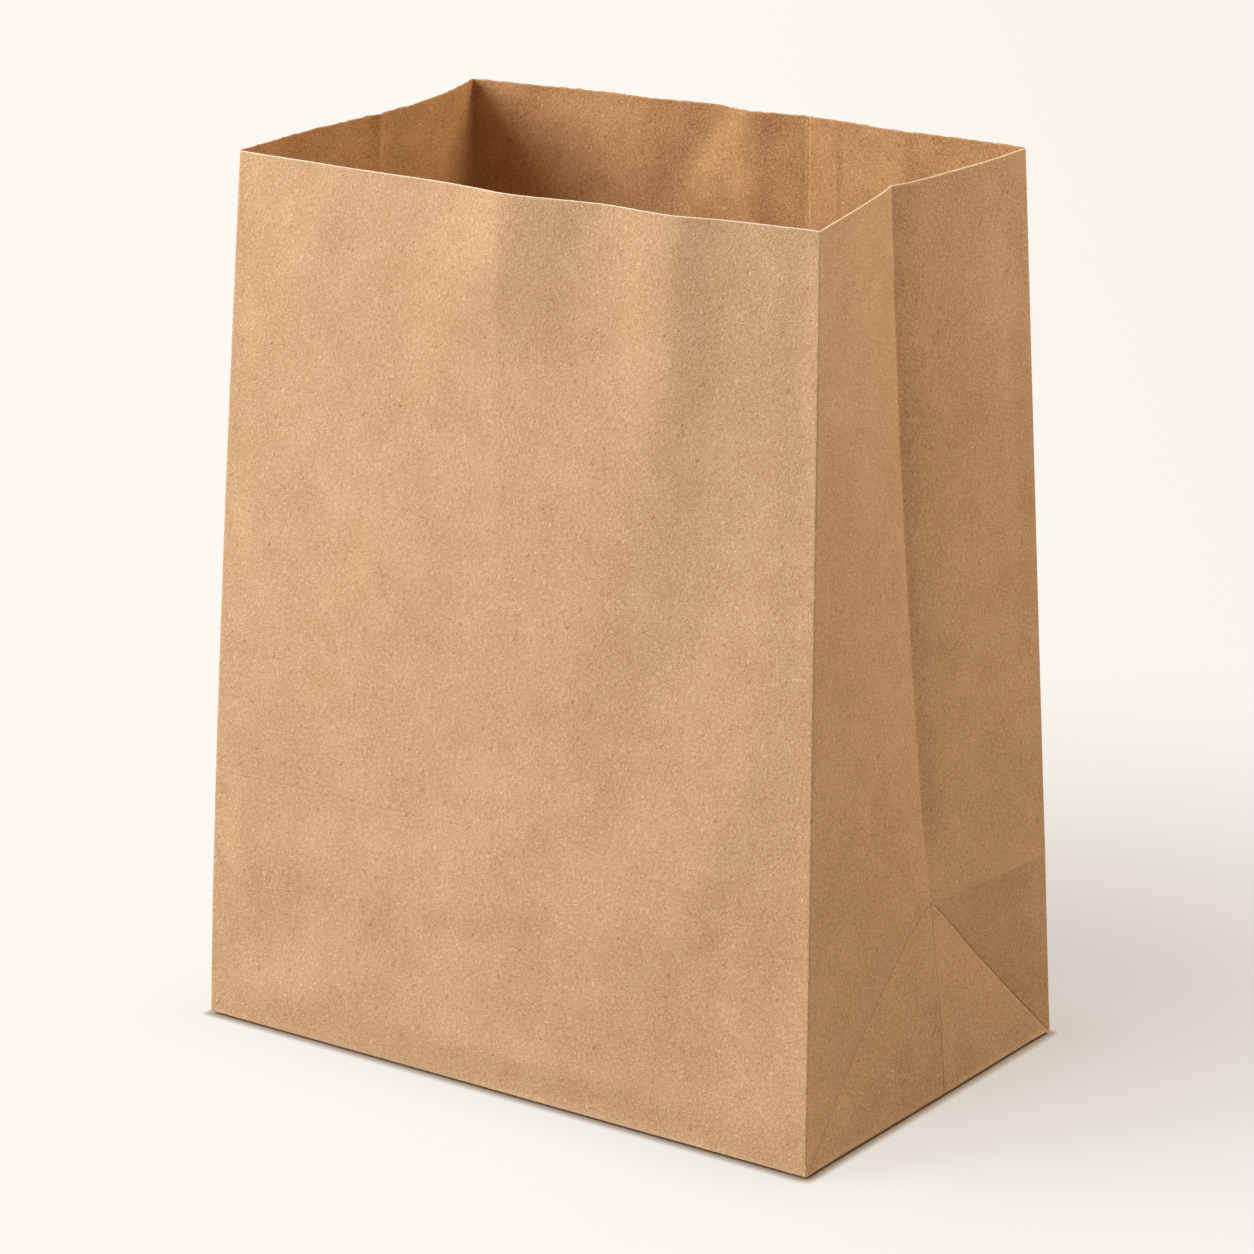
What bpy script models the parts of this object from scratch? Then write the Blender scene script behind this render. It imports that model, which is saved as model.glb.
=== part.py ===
"""A brown paper lunch bag that stands open: one sheet with side gussets and a folded block bottom.

Metres, +Z up. The origin is the middle of the base, on the surface that the bag stands on.
+X runs to the right along the front panel and +Y runs to the back.
"""
import bmesh
import bpy
import numpy as np

# The sheet
paper = 0.00016

# The block bottom, which is a true rectangle
base_width = 0.205
base_depth = 0.125
base_plies = 3
base_fold_band = 0.0015

# The walls, and how far each corner of the mouth leans in over the base corner and rises past the height
wall_height = 0.254
front_left_lean = (0.0135, 0.0078)
front_left_rise = -0.0017
front_left_lean_power = 1.2
front_right_lean = (0.0047, 0.0106)
front_right_rise = 0.0
back_right_lean = (0.0102, 0.0060)
back_right_rise = 0.0013
back_left_lean = (0.0099, 0.0081)
back_left_rise = -0.0005

# The creases left by folding the bottom up against the back while the bag was stored flat
apex_height = 0.058
back_crease_height = 0.0546
back_crease_dent = 0.0012
corner_kink = (0.0007, -0.0010)
crease_fade = 0.080

# The right gusset, whose centre crease folds in towards the mouth
right_apex_inset = 0.0018
right_mouth_inset = 0.0096
right_crease_foot = 0.0055
right_crease_mouth = -0.0027
right_front_half_bow = 0.0
right_back_half_bow = 0.0010

# The left gusset, which is folded in less
left_apex_inset = 0.0016
left_mouth_inset = 0.0058
left_crease_foot = 0.0030
left_crease_mouth = 0.0035
left_front_half_bow = 0.0014
left_back_half_bow = -0.0027

# The front panel bows out at the mouth, with two soft ridges that run down from the edge
front_bow = 0.0032
ridge_middle_place = 0.0090
ridge_middle_height = 0.0029
ridge_middle_width = 0.0125
ridge_right_place = 0.0555
ridge_right_height = 0.0027
ridge_right_width = 0.0100
ridge_run = 0.050

# The back panel bows out at the mouth, with a soft dip beside the seam
back_bow = 0.0042
back_dip_place = 0.0020
back_dip_depth = 0.0018
back_dip_width = 0.0075

# The glued lap seam on the back panel: the outer ply ends at its right, the inner ply at its left
seam_inner_edge = 0.0220
seam_overlap = 0.0120
seam_ramp = 0.0060
ply_step = 0.0004

# The two long flaps under the base, the back one glued over the front one
flap_overlap = 0.020
flap_ramp = 0.006
end_recess_margin = 0.003
cutter_depth = 0.001

# How finely the sheet is divided
fold_rows = 6
upper_rows = 12
panel_spacing = 0.0105

paper_colour = (0.62, 0.40, 0.235, 1.0)
paper_roughness = 0.85


def clear_scene():
    """Removes whatever the opened scene holds."""
    for old in list(bpy.data.objects):
        bpy.data.objects.remove(old, do_unlink=True)


def make_collection(name):
    """A collection under the scene's own."""
    made = bpy.data.collections.new(name)
    bpy.context.scene.collection.children.link(made)
    return made


def paper_material():
    """Plain unbleached kraft paper."""
    made = bpy.data.materials.new("kraft_paper")
    made.use_nodes = True
    shader = made.node_tree.nodes["Principled BSDF"]
    shader.inputs["Base Color"].default_value = paper_colour
    shader.inputs["Roughness"].default_value = paper_roughness
    shader.inputs["Metallic"].default_value = 0.0
    return made


def corner_path(side, end, lean, rise, power, kink, level):
    """A folded corner edge from the base to the mouth, at each level from 0 to 1.

    It leans in by lean times level to a power. The kink is full at the back crease, grows
    in a straight line from the base and dies away over crease_fade above it.
    """
    crease_level = back_crease_height / wall_height
    above = np.clip((level - crease_level) * wall_height / crease_fade, 0.0, 1.0)
    bend = np.where(level < crease_level, level / crease_level, (1.0 - above) ** 2)
    x = side * (base_width / 2 - lean[0] * level ** power + kink[0] * bend)
    y = end * (base_depth / 2 - lean[1] * level ** power + kink[1] * bend)
    z = (wall_height + rise) * level
    return np.stack([x, y, z], axis=-1)


def front_left(level):
    return corner_path(-1, -1, front_left_lean, front_left_rise, front_left_lean_power, (0, 0), level)


def front_right(level):
    return corner_path(1, -1, front_right_lean, front_right_rise, 1.0, (0, 0), level)


def back_right(level):
    return corner_path(1, 1, back_right_lean, back_right_rise, 1.0, corner_kink, level)


def back_left(level):
    return corner_path(-1, 1, back_left_lean, back_left_rise, 1.0, corner_kink, level)


def row_levels(crease_height):
    """Levels of every row for columns whose fold row lies at crease_height."""
    fold = np.asarray(crease_height) / wall_height
    low = np.linspace(0.0, 1.0, fold_rows + 1)[:, None] * fold[None, :]
    high = fold[None, :] + np.linspace(0.0, 1.0, upper_rows + 1)[1:, None] * (1.0 - fold[None, :])
    return np.vstack([low, high])


def soft_wave(place, centre, width):
    """A bell curve, 1 at its centre."""
    return np.exp(-(((place - centre) / width) ** 2))


def stretch(start, finish, share, level, outwards, direction):
    """Points between two corner paths, moved outwards along the panel's direction."""
    near = start(level)
    far = finish(level)
    points = near + share[..., None] * (far - near)
    return points + outwards[..., None] * np.array(direction, dtype=float)


def front_panel():
    """The front, from the left corner to the right one."""
    columns = int(round(base_width / panel_spacing))
    share = np.linspace(0.0, 1.0, columns + 1)
    place = (share - 0.5) * base_width
    level = row_levels(np.full(columns + 1, apex_height))
    fade = np.exp(-(((1.0 - level) * wall_height / ridge_run) ** 1.3))
    ridges = ridge_middle_height * soft_wave(place, ridge_middle_place, ridge_middle_width)
    ridges = ridges + ridge_right_height * soft_wave(place, ridge_right_place, ridge_right_width)
    outwards = front_bow * np.sin(np.pi * share) * level ** 1.4 + ridges * fade
    share = np.broadcast_to(share, level.shape)
    return stretch(front_left, front_right, share, level, outwards, (0, -1, 0))


def gusset(start, finish, direction, heights, insets, crease, bows):
    """A side panel, made of two halves that meet at its centre crease.

    Below the apex the inset follows the smaller of the row and the column, which puts a fold
    on each diagonal from a base corner to the apex. Above it the crease runs deeper towards
    the mouth, as 1 - (1 - rise) squared.
    """
    count = np.arange(2 * fold_rows + 1)
    from_start = count / fold_rows
    in_first_half = count <= fold_rows
    from_corner = np.where(in_first_half, count, 2 * fold_rows - count)
    start_height, finish_height = heights
    corner_height = np.where(in_first_half, start_height, finish_height)
    fold_height = corner_height + (apex_height - corner_height) * from_corner / fold_rows
    level = row_levels(fold_height)
    rows = np.arange(fold_rows + upper_rows + 1)
    rise = np.clip((rows - fold_rows) / upper_rows, 0.0, 1.0)
    apex_inset, mouth_inset = insets
    crease_inset = apex_inset + (mouth_inset - apex_inset) * (1.0 - (1.0 - rise) ** 2)
    below = np.minimum(rows[:, None], from_corner[None, :]) / fold_rows * apex_inset
    above = from_corner[None, :] / fold_rows * crease_inset[:, None]
    inset = np.where(rows[:, None] < fold_rows, below, above)
    bow = np.where(in_first_half, bows[0], bows[1])[None, :]
    bulge = bow * np.sin(np.pi * from_corner / fold_rows)[None, :] * (rise ** 2)[:, None]
    crease_shift = crease[0] + (crease[1] - crease[0]) * level
    middle = 0.5 + crease_shift / base_depth
    first = middle * from_start
    second = middle + (1.0 - middle) * (from_start - 1.0)
    share = np.where(in_first_half, first, second)
    return stretch(start, finish, share, level, bulge - inset, direction)


def back_columns():
    """Places along X of the back panel's columns, from right to left, with the seam's edges among them."""
    outer_edge = seam_inner_edge + seam_overlap
    seam = [
        outer_edge + ply_step,
        outer_edge,
        seam_inner_edge,
        seam_inner_edge - ply_step,
        seam_inner_edge - seam_ramp,
    ]
    plain_count = int(round(base_width / panel_spacing))
    plain = np.linspace(base_width / 2, -base_width / 2, plain_count + 1)
    clear = panel_spacing / 3
    kept = [x for x in plain if min(abs(x - edge) for edge in seam) > clear]
    return np.array(sorted(kept + seam, reverse=True))


def back_panel():
    """The back, from the right corner to the left one, with the lap seam and the storage crease."""
    place = back_columns()
    share = 0.5 - place / base_width
    level = row_levels(np.full(len(place), back_crease_height))
    crease_level = back_crease_height / wall_height
    above = np.clip((level - crease_level) * wall_height / crease_fade, 0.0, 1.0)
    dent = np.where(level < crease_level, level / crease_level, (1.0 - above) ** 2)
    between = np.sin(np.pi * share) ** 0.5
    bow = back_bow * np.sin(np.pi * share) ** 0.7 * level ** 1.3
    fade = np.exp(-(((1.0 - level) * wall_height / ridge_run) ** 1.3))
    dip = back_dip_depth * soft_wave(place, back_dip_place, back_dip_width) * fade
    lapped = np.interp(
        place,
        [seam_inner_edge - seam_ramp, seam_inner_edge],
        [0.0, paper],
    )
    lapped = np.where(place > seam_inner_edge + seam_overlap + ply_step / 2, 0.0, lapped)
    outwards = bow - dip - back_crease_dent * dent * between + lapped * (level > 0.0)
    share = np.broadcast_to(share, level.shape)
    points = stretch(back_right, back_left, share, level, outwards, (0, 1, 0))
    plies = np.where((place > seam_inner_edge - ply_step / 2) & (lapped > 0), 2, 1)
    return points, plies


def sheet_points():
    """Every panel side by side as rows and columns of points, with the plies at each column."""
    front = front_panel()
    right = gusset(
        front_right,
        back_right,
        (1, 0, 0),
        (apex_height, back_crease_height),
        (right_apex_inset, right_mouth_inset),
        (right_crease_foot, right_crease_mouth),
        (right_front_half_bow, right_back_half_bow),
    )
    back, back_plies = back_panel()
    left = gusset(
        back_left,
        front_left,
        (-1, 0, 0),
        (back_crease_height, apex_height),
        (left_apex_inset, left_mouth_inset),
        (-left_crease_foot, -left_crease_mouth),
        (left_back_half_bow, left_front_half_bow),
    )
    panels = [front, right, back, left]
    single = [np.ones(panel.shape[1], dtype=int) for panel in panels]
    single[2] = back_plies
    points = np.concatenate([panel[:, :-1] for panel in panels], axis=1)
    plies = np.concatenate([ply[:-1] for ply in single])
    leans_left = np.concatenate([
        np.zeros(front.shape[1] - 1, dtype=bool),
        np.arange(right.shape[1] - 1) >= fold_rows,
        np.zeros(back.shape[1] - 1, dtype=bool),
        np.arange(left.shape[1] - 1) >= fold_rows,
    ])
    return points, plies, leans_left


def paper_sheet():
    """The bag's outer face as one open surface, with each point weighted by its plies."""
    points, plies, leans_left = sheet_points()
    rows, columns = points.shape[:2]
    shaped = bmesh.new()
    weights = shaped.verts.layers.deform.verify()
    grid = [[shaped.verts.new(points[row, column]) for column in range(columns)] for row in range(rows)]
    for row in grid:
        for column, vert in enumerate(row):
            vert[weights][0] = plies[column] / base_plies
    for row in range(rows - 1):
        for column in range(columns):
            beside = (column + 1) % columns
            low_left = grid[row][column]
            low_right = grid[row][beside]
            high_left = grid[row + 1][column]
            high_right = grid[row + 1][beside]
            if leans_left[column]:
                shaped.faces.new((low_left, low_right, high_left))
                shaped.faces.new((low_right, high_right, high_left))
            else:
                shaped.faces.new((low_left, low_right, high_right))
                shaped.faces.new((low_left, high_right, high_left))
    bottom = shaped.faces.new(list(reversed(grid[0])))
    shaped.normal_update()
    bmesh.ops.inset_region(shaped, faces=[bottom], thickness=base_fold_band, use_even_offset=True)
    for vert in bottom.verts:
        vert[weights][0] = 1.0
    mesh = bpy.data.meshes.new("paper_bag")
    shaped.to_mesh(mesh)
    shaped.free()
    return mesh


def cutter(name, outline, tops, collection):
    """A prism below the base with its top corner at each outline point raised to the given height."""
    shaped = bmesh.new()
    low = [shaped.verts.new((x, y, -cutter_depth)) for x, y in outline]
    high = [shaped.verts.new((x, y, top)) for (x, y), top in zip(outline, tops)]
    count = len(outline)
    for corner in range(count):
        after = (corner + 1) % count
        shaped.faces.new((low[corner], low[after], high[after], high[corner]))
    shaped.faces.new(list(reversed(low)))
    shaped.faces.new(high)
    bmesh.ops.triangulate(shaped, faces=shaped.faces[:])
    bmesh.ops.recalc_face_normals(shaped, faces=shaped.faces[:])
    mesh = bpy.data.meshes.new(name)
    shaped.to_mesh(mesh)
    shaped.free()
    made = bpy.data.objects.new(name, mesh)
    made.hide_render = True
    made.display_type = "WIRE"
    collection.objects.link(made)
    return made


def end_recess(side, collection):
    """The gusset paper that shows between the two flaps at one end, one ply above them."""
    edge = base_width / 2 - end_recess_margin
    reach = base_depth / 2 - end_recess_margin
    point = base_width / 2 - base_depth / 2
    outline = [(side * edge, -side * reach), (side * edge, side * reach), (side * point, 0.0)]
    return cutter(f"end_recess_{'right' if side > 0 else 'left'}", outline, [paper] * 3, collection)


def flap_edge_ramp(collection):
    """The dip in the front flap along the free edge of the back flap that is glued over it."""
    tongue = flap_overlap / 2
    half = base_width / 2 - base_depth / 2 - tongue
    outline = [
        (-half, -tongue),
        (-half - flap_ramp / 2, -tongue - flap_ramp),
        (half + flap_ramp / 2, -tongue - flap_ramp),
        (half, -tongue),
    ]
    below = -paper / 4
    return cutter("flap_edge_ramp", outline, [paper, below, below, paper], collection)


def main():
    clear_scene()
    bag_collection = make_collection("paper_lunch_bag")
    cutter_collection = make_collection("cutters")
    bag = bpy.data.objects.new("paper_bag", paper_sheet())
    bag_collection.objects.link(bag)
    bag.data.materials.append(paper_material())
    bag.vertex_groups.new(name="plies")
    plies = bag.modifiers.new("plies", "SOLIDIFY")
    plies.thickness = base_plies * paper
    plies.offset = -1.0
    plies.use_even_offset = True
    plies.vertex_group = "plies"
    cutters = [end_recess(1, cutter_collection), end_recess(-1, cutter_collection)]
    cutters.append(flap_edge_ramp(cutter_collection))
    for tool in cutters:
        cut = bag.modifiers.new(tool.name, "BOOLEAN")
        cut.operation = "DIFFERENCE"
        cut.solver = "EXACT"
        cut.object = tool


main()
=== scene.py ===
import math

import bpy
import numpy as np
from mathutils import Matrix, Vector


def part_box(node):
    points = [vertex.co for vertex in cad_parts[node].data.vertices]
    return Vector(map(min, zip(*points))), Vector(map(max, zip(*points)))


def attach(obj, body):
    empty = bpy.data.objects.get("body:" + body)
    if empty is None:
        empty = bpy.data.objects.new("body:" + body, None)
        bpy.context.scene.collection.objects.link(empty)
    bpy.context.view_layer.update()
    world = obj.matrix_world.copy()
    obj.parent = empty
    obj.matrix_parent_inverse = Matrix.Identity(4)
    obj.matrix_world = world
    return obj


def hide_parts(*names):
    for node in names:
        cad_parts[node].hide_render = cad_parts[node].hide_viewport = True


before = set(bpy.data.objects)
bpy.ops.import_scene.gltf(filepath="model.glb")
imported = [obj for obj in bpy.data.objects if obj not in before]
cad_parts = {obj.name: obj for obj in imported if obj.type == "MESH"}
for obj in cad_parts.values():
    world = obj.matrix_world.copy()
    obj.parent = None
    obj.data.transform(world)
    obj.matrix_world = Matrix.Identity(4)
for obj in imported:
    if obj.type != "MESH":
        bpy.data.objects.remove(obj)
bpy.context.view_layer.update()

# The four standing folds. The bag is one sheet of brown kraft paper wound into a square tube, and
# a machine has pressed a fold at each corner. On the open bag each fold leans in towards the mouth.
bag_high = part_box("paper_bag")[1]
paper = 0.00016
base_width = 2 * bag_high.x
base_depth = 2 * bag_high.y
girth = 2 * (base_width + base_depth)
back_right_rise = 0.0013
wall_height = bag_high.z - back_right_rise
back_crease_height = 0.0546
crease_fade = 0.080
fold_radius = 0.0005


def storage_bend(level):
    """1 at the storage crease, growing in a line from the base and dying as a square above it."""
    crease = back_crease_height / wall_height
    above = np.clip((level - crease) * wall_height / crease_fade, 0.0, 1.0)
    return np.where(level < crease, level / crease, (1.0 - above) ** 2)


def corner_fold(side, end, lean, rise, power, kink, level):
    """A corner's path: the base corner moved in by lean times level to a power, and by its kink."""
    bend = storage_bend(level)
    x = side * (base_width / 2 - lean[0] * level ** power + kink[0] * bend)
    y = end * (base_depth / 2 - lean[1] * level ** power + kink[1] * bend)
    return np.stack([x, y, (wall_height + rise) * level], axis=-1)


def front_left_fold(level):
    return corner_fold(-1, -1, (0.0135, 0.0078), -0.0017, 1.2, (0.0, 0.0), level)


def front_right_fold(level):
    return corner_fold(1, -1, (0.0047, 0.0106), 0.0, 1.0, (0.0, 0.0), level)


def back_right_fold(level):
    return corner_fold(1, 1, (0.0102, 0.0060), back_right_rise, 1.0, (0.0007, -0.0010), level)


def back_left_fold(level):
    return corner_fold(-1, 1, (0.0099, 0.0081), -0.0005, 1.0, (0.0007, -0.0010), level)


def between_folds(near, far, share, level, outwards, direction):
    """Points on the straight line from one fold to the next, moved outwards along a direction."""
    start = near(level)
    points = start + share[:, None] * (far(level) - start)
    return points + outwards[:, None] * np.array(direction)


# The front panel, a plain rectangle of the sheet. It bows out a little where the mouth stands open,
# and handling has left soft ridges that run down from the cut edge and long shallow dents below.
front_bow = 0.0032
front_bow_power = 1.4
ridge_fade_power = 1.3
calm_reach = 0.012
mouth_ridges = [
    ("middle", 0.0075, 0.0017, 0.0175, 0.060),
    ("right", 0.0553, 0.0022, 0.0135, 0.065),
]
front_lines = [
    ("crest of the middle ridge", -0.0025, 0.0005, 0.0060, 0.100),
    ("crest of the right ridge", 0.0575, 0.0002, 0.0050, 0.075),
]
front_dents = [
    ("slanting flank of the middle ridge", -0.012, 0.228, 58.0, 0.034, 0.0160, 0.0015),
    ("high on the left shoulder", -0.071, 0.234, 68.0, 0.024, 0.0090, 0.0006),
    ("right ridge under the mouth", 0.052, 0.214, 84.0, 0.030, 0.0130, 0.0006),
    ("long slack across the middle", 0.031, 0.150, 72.0, 0.085, 0.0220, 0.0017),
    ("slack left of it", -0.035, 0.140, 66.0, 0.055, 0.0160, 0.0006),
    ("middle ridge dying away", -0.0020, 0.145, 88.0, 0.070, 0.0180, 0.0009),
    ("slack low on the right", 0.050, 0.060, 48.0, 0.060, 0.0240, 0.0012),
    ("streak low on the right", 0.0710, 0.082, 66.0, 0.028, 0.0065, 0.0005),
    ("storage roll above the base", -0.045, 0.054, 2.0, 0.075, 0.0115, 0.0010),
    ("storage roll to the right", 0.045, 0.056, 3.0, 0.040, 0.0080, 0.0004),
    ("low left cushion", -0.074, 0.015, 12.0, 0.026, 0.0100, 0.0008),
    ("roll over the base fold", 0.010, 0.0115, 0.0, 0.110, 0.0055, 0.0005),
    ("pull to the right corner", 0.088, 0.026, 118.0, 0.026, 0.0060, 0.0004),
]


def bell(distance, width):
    """A bell curve: e to the minus square of distance over width."""
    return np.exp(-((distance / width) ** 2))


def dented(across, height, dents):
    """Outward depth of soft dents: each is a bell along its own direction times a bell across it.
    A dent has a name, its place and height, its direction in degrees, length, width and rise."""
    outwards = np.zeros(across.shape)
    for name, place, up, turn, length, width, rise in dents:
        cos, sin = math.cos(math.radians(turn)), math.sin(math.radians(turn))
        along = (across - place) * cos + (height - up) * sin
        aside = (height - up) * cos - (across - place) * sin
        outwards = outwards + rise * bell(along, length) * bell(aside, width)
    return outwards


def ridged(across, height, ridges):
    """Outward depth of ridges: each is a bell across that fades down from the mouth.
    A ridge has a name, its place, rise, width and the length that it runs."""
    outwards = np.zeros(across.shape)
    for name, place, rise, width, run in ridges:
        fade = np.exp(-((wall_height - height) / run) ** ridge_fade_power)
        outwards = outwards + rise * bell(across - place, width) * fade
    return outwards


def pressed(across, height, lines):
    """Outward depth beside pressed lines: each dies away exponentially from its line and fades
    down from the mouth. A line has a name, its place, rise, width and the length that it runs."""
    outwards = np.zeros(across.shape)
    for name, place, rise, width, run in lines:
        fade = np.exp(-((wall_height - height) / run) ** 2)
        outwards = outwards + rise * np.exp(-np.abs(across - place) / width) * fade
    return outwards


def front_panel(share, level):
    """A half sine across times level to a power, with the ridges, dents and lines added to it.
    All of it dies away smoothly next to the corner folds and the base."""
    across = (share - 0.5) * base_width
    height = level * wall_height
    outwards = front_bow * np.sin(np.pi * share) * level ** front_bow_power
    outwards = outwards + ridged(across, height, mouth_ridges)
    outwards = outwards + dented(across, height, front_dents) + pressed(across, height, front_lines)
    ends = np.clip(np.minimum(share, 1 - share) * base_width / calm_reach, 0.0, 1.0)
    foot = np.clip(height / calm_reach, 0.0, 1.0)
    outwards = outwards * (3 - 2 * ends) * ends ** 2 * (3 - 2 * foot) * foot ** 2
    return between_folds(front_left_fold, front_right_fold, share, level, outwards, (0.0, -1.0, 0.0))


# The two side gussets. Each is a strip of the sheet with a crease down its middle, which folds in
# so that the bag stores flat. Folding the bottom up has left a crease from each base corner to an
# apex on the middle crease, and one from the apex level to the back.
apex_height = 0.0565
diagonal_bow_front = 0.5
diagonal_bow_back = 0.12
crease_grip = 0.0006
crease_grip_width = 0.0045
grip_onset = 8.0
crease_spring = 0.0026
crease_spring_width = 0.0060
spring_onset = 2.2
spring_fade = 0.45
storage_ridge = 0.0011
storage_ridge_width = 0.008
storage_ridge_power = 0.6
middle_ridge = 0.0006
middle_ridge_width = 0.008
groove_width = 0.011
groove_front = 0.0011
groove_back = 0.0016
right_dents = [
    ("turned in along the back fold", 0.053, 0.170, 90.0, 0.070, 0.006, -0.0004),
    ("cushion high in the back half", 0.036, 0.222, 84.0, 0.030, 0.009, 0.0004),
]


def off_folds(share):
    """0 at a strip's folds, growing in a line to 1 at a twentieth of its width."""
    return np.clip(np.minimum(share, 1 - share) * 20, 0, 1)


def gusset(near, far, heights, insets, crease, bows, diagonals, grooves, direction, share, level):
    """A side strip of two halves. From its own corner, across runs 0 to 1 at the middle crease.

    The fold row rises along across from the corner's height to the apex. Below it the inset
    grows as the smaller of across and up, which folds the sheet on the diagonal; above it the
    middle crease deepens as 1 - (1 - rise) squared, and each half bows by a sine of across.
    Each crease also grips the sheet beside it, by a depth that dies away exponentially, and the
    back half springs out again beside the middle crease.
    heights, diagonals and grooves hold the value of the first half and of the second; bows holds
    both at the mouth and both half way up. insets holds the depth at the apex and at the mouth,
    and crease how far the middle crease lies off the middle at the foot and at the mouth.
    """
    first = share <= 0.5
    across = np.where(first, 2 * share, 2 - 2 * share)
    corner = np.where(first, heights[0], heights[1])
    fold_level = (corner + (apex_height - corner) * across) / wall_height
    bend = np.where(first, diagonals[0], diagonals[1]) * np.sqrt(across)
    reach = np.clip(level / fold_level, 0.0, 1.0)
    up = 2 * reach / (1 + bend + np.sqrt(np.maximum((1 + bend) ** 2 - 4 * bend * reach, 0.0)))
    rise = np.clip((level - fold_level) / (1 - fold_level), 0.0, 1.0)
    deep = insets[0] + (insets[1] - insets[0]) * (1 - (1 - rise) ** 2)
    inset = np.where(level < fold_level, insets[0] * np.minimum(up, across), deep * across)

    over = up + np.maximum(level - fold_level, 0.0) * wall_height / corner
    beside = np.abs(over - across) * corner / math.sqrt(2)
    midway = np.sin(np.pi * np.clip((over + across) / 2, 0.0, 1.0))
    groove = np.where(first, grooves[0], grooves[1]) * midway * np.exp(-beside / groove_width)
    from_middle = (1 - across) * base_depth / 2
    over_row = np.abs(level - fold_level) * wall_height
    grip = crease_grip * np.minimum(1.0, rise * grip_onset) * np.exp(-from_middle / crease_grip_width)
    back = np.where(first, heights[0] < heights[1], heights[1] < heights[0])
    spring = back * crease_spring * (1 - np.exp(-from_middle / crease_spring_width)) * across
    spring = spring * np.sqrt(np.clip(rise * spring_onset, 0.0, 1.0)) * (1 - spring_fade * rise ** 2)
    arch = np.sin(np.pi * across)
    row_ridge = storage_ridge * np.exp(-over_row / storage_ridge_width) * arch ** storage_ridge_power
    low_ridge = middle_ridge * np.sin(np.pi * reach) * np.exp(-from_middle / middle_ridge_width)

    mouth_bow = np.where(first, bows[0], bows[1])
    belly = np.where(first, bows[2], bows[3])
    bulge = arch * (mouth_bow * rise ** 2 + belly * np.sin(np.pi * rise)) + low_ridge + back * row_ridge
    middle = 0.5 + (crease[0] + (crease[1] - crease[0]) * level) / base_depth
    place = np.where(first, middle * across, 1 - (1 - middle) * across)
    return between_folds(near, far, place, level, bulge + spring - inset - groove - grip, direction)


def right_gusset(share, level):
    """The side that the picture shows, from the front corner to the back one."""
    points = gusset(
        front_right_fold, back_right_fold,
        (apex_height, back_crease_height), (0.0027, 0.0096 - crease_grip), (0.0062, -0.0027),
        (0.0, 0.0010, 0.0010, 0.0006), (diagonal_bow_front, diagonal_bow_back),
        (groove_front, groove_back), (1.0, 0.0, 0.0), share, level,
    )
    dents = dented((share - 0.5) * base_depth, level * wall_height, right_dents)
    points[..., 0] = points[..., 0] + dents * off_folds(share)
    return points


left_lines = [
    ("inward fold", 0.0145, -0.0013, 0.0100, 0.110),
    ("outward fold", -0.0040, 0.0012, 0.0080, 0.110),
]


def left_gusset(share, level):
    """The other side, folded in less, from the back corner to the front one."""
    points = gusset(
        back_left_fold, front_left_fold,
        (back_crease_height, apex_height), (0.0024, 0.0058 - crease_grip), (-0.0030, -0.0035),
        (-0.0027, 0.0014, 0.0004, 0.0008), (diagonal_bow_back, diagonal_bow_front),
        (groove_back, groove_front), (-1.0, 0.0, 0.0), share, level,
    )
    lines = pressed((0.5 - share) * base_depth, level * wall_height, left_lines)
    points[..., 0] = points[..., 0] - lines * off_folds(share)
    return points


# The back panel, where the two ends of the sheet are glued: the outer ply ends right of the seam and
# the inner ply ends at its left. The crease across it is where the bottom was folded up for storage.
back_bow = 0.0042
back_bow_powers = (0.7, 1.3)
back_crease_dent = 0.0012
crease_dent_power = 0.5
seam_inner_edge = 0.0220
seam_overlap = 0.0120
seam_ramp = 0.0060
ply_step = 0.0003
lap_foot = 0.003
back_waves = [
    ("dip beside the seam", 0.0020, -0.0018, 0.0075, 0.055),
    ("ridge left of the dip", -0.0200, 0.0010, 0.0100, 0.060),
    ("ridge by the left corner", -0.0620, 0.0008, 0.0140, 0.070),
    ("wave right of the seam", 0.0560, -0.0006, 0.0070, 0.060),
]
back_lines = [
    ("seam's inner edge", 0.0220, 0.0010, 0.0080, 0.160),
    ("old fold right of the seam", 0.0590, -0.0014, 0.0130, 0.130),
]
back_dents = [
    ("slanting ridge", -0.0200, 0.240, 56.0, 0.026, 0.0065, 0.0011),
    ("hollow beside the seam", 0.004, 0.185, 94.0, 0.050, 0.013, 0.0008),
    ("slack by the right corner", 0.074, 0.200, 88.0, 0.060, 0.012, -0.0006),
    ("old crease across", -0.030, 0.128, 3.0, 0.070, 0.007, -0.0004),
    ("low cushion", -0.045, 0.080, 70.0, 0.040, 0.016, 0.0007),
]


def back_panel(share, level):
    """From the right corner to the left one: a flattened sine bow, waves that fade down from the
    mouth, the storage crease, and the outer ply's step over the seam."""
    across = (0.5 - share) * base_width
    height = level * wall_height
    outwards = back_bow * np.sin(np.pi * share) ** back_bow_powers[0] * level ** back_bow_powers[1]
    outwards = outwards + ridged(across, height, back_waves)
    dent = back_crease_dent * np.sin(np.pi * share) ** crease_dent_power
    outwards = outwards - dent * storage_bend(level)
    outwards = outwards + dented(across, height, back_dents) + pressed(across, height, back_lines)
    outer_edge = seam_inner_edge + seam_overlap
    lapped = np.interp(
        across,
        [seam_inner_edge - seam_ramp, seam_inner_edge, outer_edge, outer_edge + ply_step],
        [0.0, paper, paper, 0.0],
    )
    outwards = outwards + lapped * np.clip(height / lap_foot, 0.0, 1.0)
    return between_folds(back_right_fold, back_left_fold, share, level, outwards, (0.0, 1.0, 0.0))


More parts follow.
